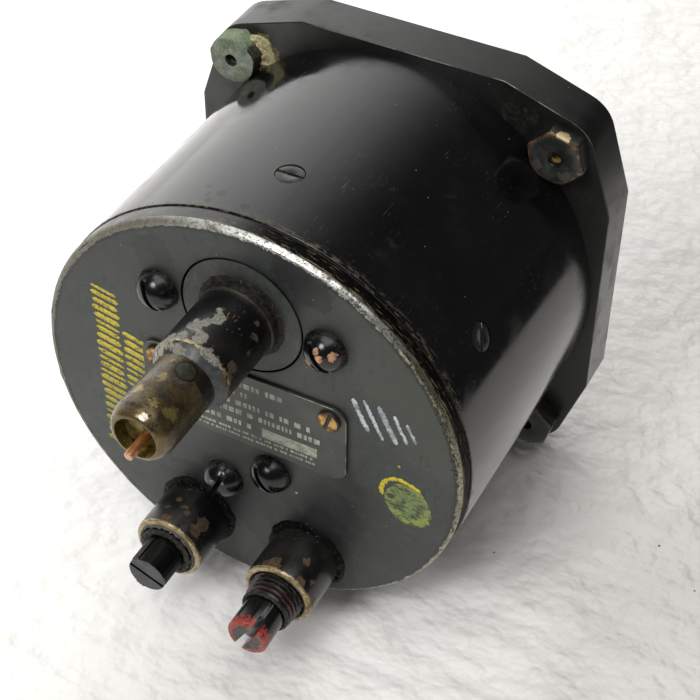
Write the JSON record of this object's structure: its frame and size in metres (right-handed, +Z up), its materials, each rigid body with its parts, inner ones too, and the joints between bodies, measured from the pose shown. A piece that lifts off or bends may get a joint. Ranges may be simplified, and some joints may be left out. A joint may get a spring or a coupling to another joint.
{
  "type": "triple engine gauge",
  "caption": "Panel gauge with a round black case, cut-corner flange, rear capillary fitting and pressure ports, and three geared pointer movements under glass.",
  "frame": {"origin": "centre of the flange panel face, on the case axis", "axes": "+Y along the gauge axis from the panel face to the rear fittings, +Z up with the capillary fitting at the top, +X to the right as seen from the dial"},
  "size_m": [0.0813, 0.0966, 0.0826],
  "materials": {
    "case_gloss": "polished black phenolic moulding",
    "nut_metal": "dark tarnished brass with verdigris",
    "black_screw": "black enamelled steel",
    "ring_steel": "satin steel",
    "lens": "clear",
    "gasket": "matt",
    "dial_black": "matt black",
    "cover_paint": "semi-gloss dark grey paint over aluminium",
    "data_plate": "etched and darkened",
    "brass": "satin",
    "fitting_paint": "chipped black enamel over brass",
    "sleeve_brass": "tarnished",
    "copper": "drawn copper",
    "plug_black": "black oxide and paint",
    "washer_dark": "darkened",
    "steel": "ground",
    "spring_steel": "blued",
    "pointer_paint": "matt off-white"
  },
  "bodies": {
    "root": {"case_shell": "case_gloss", "mounting_nuts": "nut_metal", "case_side_screws": "black_screw", "glass_retaining_ring": "ring_steel", "cover_glass": "lens", "glass_gasket": "gasket", "dial_plate": "dial_black", "dial_screws": "dial_black", "dial_posts": "brass", "rear_cover": "cover_paint", "cover_gasket": "gasket", "upper_cover_screws": "black_screw", "lower_cover_screws": "black_screw", "name_plate": "data_plate", "name_plate_screws": "brass", "upper_clamp_bar": "ring_steel", "lower_clamp_plate": "ring_steel", "frame_posts": "brass", "frame_screws": "ring_steel", "movement_pillars": "brass", "front_movement_plate": "brass", "rear_movement_plate": "brass", "upper_fitting": "fitting_paint", "upper_sleeve": "sleeve_brass", "sleeve_plug": "sleeve_brass", "sleeve_pin": "sleeve_brass", "capillary_tube": "copper", "left_port": "fitting_paint", "right_port": "fitting_paint", "upper_hairspring": "spring_steel", "left_hairspring": "spring_steel", "right_hairspring": "spring_steel", "upper_bourdon_tube": "brass", "left_bourdon_tube": "brass", "right_bourdon_tube": "brass", "upper_socket": "brass", "left_socket": "brass", "right_socket": "brass"},
    "upper_sector_body": {"upper_sector": "brass", "upper_sector_arbor": "steel"},
    "upper_pointer_body": {"upper_pinion_arbor": "steel", "upper_pointer": "pointer_paint"},
    "upper_link_body": {"upper_link": "steel"},
    "upper_tip_body": {"upper_tip_block": "brass"},
    "left_sector_body": {"left_sector": "brass", "left_sector_arbor": "steel"},
    "left_pointer_body": {"left_pinion_arbor": "steel", "left_pointer": "pointer_paint"},
    "left_link_body": {"left_link": "steel"},
    "left_tip_body": {"left_tip_block": "brass"},
    "right_sector_body": {"right_sector": "brass", "right_sector_arbor": "steel"},
    "right_pointer_body": {"right_pinion_arbor": "steel", "right_pointer": "pointer_paint"},
    "right_link_body": {"right_link": "steel"},
    "right_tip_body": {"right_tip_block": "brass"},
    "left_washer_body": {"left_plug_washer": "washer_dark"},
    "left_plug_body": {"left_plug": "plug_black"},
    "right_washer_body": {"right_plug_washer": "washer_dark"},
    "right_plug_body": {"right_plug": "plug_black"}
  },
  "joints": [
    {"name": "upper_sector_turn", "type": "hinge", "parent": "root", "child": "upper_sector_body", "pos_m": [0, 0.02, 0.0248], "axis": [0, -1, 0], "range_deg": [0, 20], "stiffness_Nm_per_rad": 0.01},
    {"name": "upper_pointer_turn", "type": "hinge", "parent": "root", "child": "upper_pointer_body", "pos_m": [0, 0.02, 0.008], "axis": [0, 1, 0], "range_deg": [0, 120], "deforming": ["upper_hairspring"]},
    {"name": "upper_link_swing", "type": "hinge", "parent": "upper_sector_body", "child": "upper_link_body", "pos_m": [-0.00362, 0.036, 0.02825], "axis": [0, -1, 0], "range_deg": [-20, 0]},
    {"name": "upper_tip_travel", "type": "hinge", "parent": "root", "child": "upper_tip_body", "pos_m": [-0.0021, 0.0415, 0.00817], "axis": [0, -1, 0], "range_deg": [0, 8], "deforming": ["upper_bourdon_tube"]},
    {"name": "left_sector_turn", "type": "hinge", "parent": "root", "child": "left_sector_body", "pos_m": [-0.0145, 0.02, 0.0058], "axis": [0, -1, 0], "range_deg": [0, 16], "stiffness_Nm_per_rad": 0.01},
    {"name": "left_pointer_turn", "type": "hinge", "parent": "root", "child": "left_pointer_body", "pos_m": [-0.0145, 0.02, -0.011], "axis": [0, 1, 0], "range_deg": [0, 96], "deforming": ["left_hairspring"]},
    {"name": "left_link_swing", "type": "hinge", "parent": "left_sector_body", "child": "left_link_body", "pos_m": [-0.0095, 0.036, 0.00585], "axis": [0, -1, 0], "range_deg": [-16, 0]},
    {"name": "left_tip_travel", "type": "hinge", "parent": "root", "child": "left_tip_body", "pos_m": [-0.02068, 0.0415, -0.00343], "axis": [0, -1, 0], "range_deg": [0, 6.4], "deforming": ["left_bourdon_tube"]},
    {"name": "right_sector_turn", "type": "hinge", "parent": "root", "child": "right_sector_body", "pos_m": [0.0145, 0.02, 0.0058], "axis": [0, 1, 0], "range_deg": [0, 16], "stiffness_Nm_per_rad": 0.01},
    {"name": "right_pointer_turn", "type": "hinge", "parent": "root", "child": "right_pointer_body", "pos_m": [0.0145, 0.02, -0.011], "axis": [0, -1, 0], "range_deg": [0, 96], "deforming": ["right_hairspring"]},
    {"name": "right_link_swing", "type": "hinge", "parent": "right_sector_body", "child": "right_link_body", "pos_m": [0.0095, 0.036, 0.00585], "axis": [0, 1, 0], "range_deg": [-16, 0]},
    {"name": "right_tip_travel", "type": "hinge", "parent": "root", "child": "right_tip_body", "pos_m": [0.02068, 0.0415, -0.00343], "axis": [0, 1, 0], "range_deg": [0, 6.4], "deforming": ["right_bourdon_tube"]},
    {"name": "left_plug_travel", "type": "slide", "parent": "root", "child": "left_washer_body", "axis": [0, 1, 0], "range_m": [-0.00376, 0.00423]},
    {"name": "left_plug_turn", "type": "hinge", "parent": "left_washer_body", "child": "left_plug_body", "pos_m": [-0.0114, 0.075, -0.0281], "axis": [0, 1, 0], "range_deg": [-1441, 1621]},
    {"name": "right_plug_travel", "type": "slide", "parent": "root", "child": "right_washer_body", "axis": [0, 1, 0], "range_m": [0, 0.00753]},
    {"name": "right_plug_turn", "type": "hinge", "parent": "right_washer_body", "child": "right_plug_body", "pos_m": [0.01075, 0.075, -0.0281], "axis": [0, 1, 0], "range_deg": [0, 2881]}
  ],
  "couplings": [
    {"joint": "upper_pointer_turn", "follows": "upper_sector_turn", "ratio": 6},
    {"joint": "upper_link_swing", "follows": "upper_sector_turn", "ratio": -1},
    {"joint": "upper_tip_travel", "follows": "upper_sector_turn", "ratio": 0.4},
    {"joint": "left_pointer_turn", "follows": "left_sector_turn", "ratio": 6},
    {"joint": "left_link_swing", "follows": "left_sector_turn", "ratio": -1},
    {"joint": "left_tip_travel", "follows": "left_sector_turn", "ratio": 0.4},
    {"joint": "right_pointer_turn", "follows": "right_sector_turn", "ratio": 6},
    {"joint": "right_link_swing", "follows": "right_sector_turn", "ratio": -1},
    {"joint": "right_tip_travel", "follows": "right_sector_turn", "ratio": 0.4},
    {"joint": "left_plug_turn", "follows": "left_plug_travel", "rad_per_m": 6679.3},
    {"joint": "right_plug_turn", "follows": "right_plug_travel", "rad_per_m": 6679.3}
  ]
}
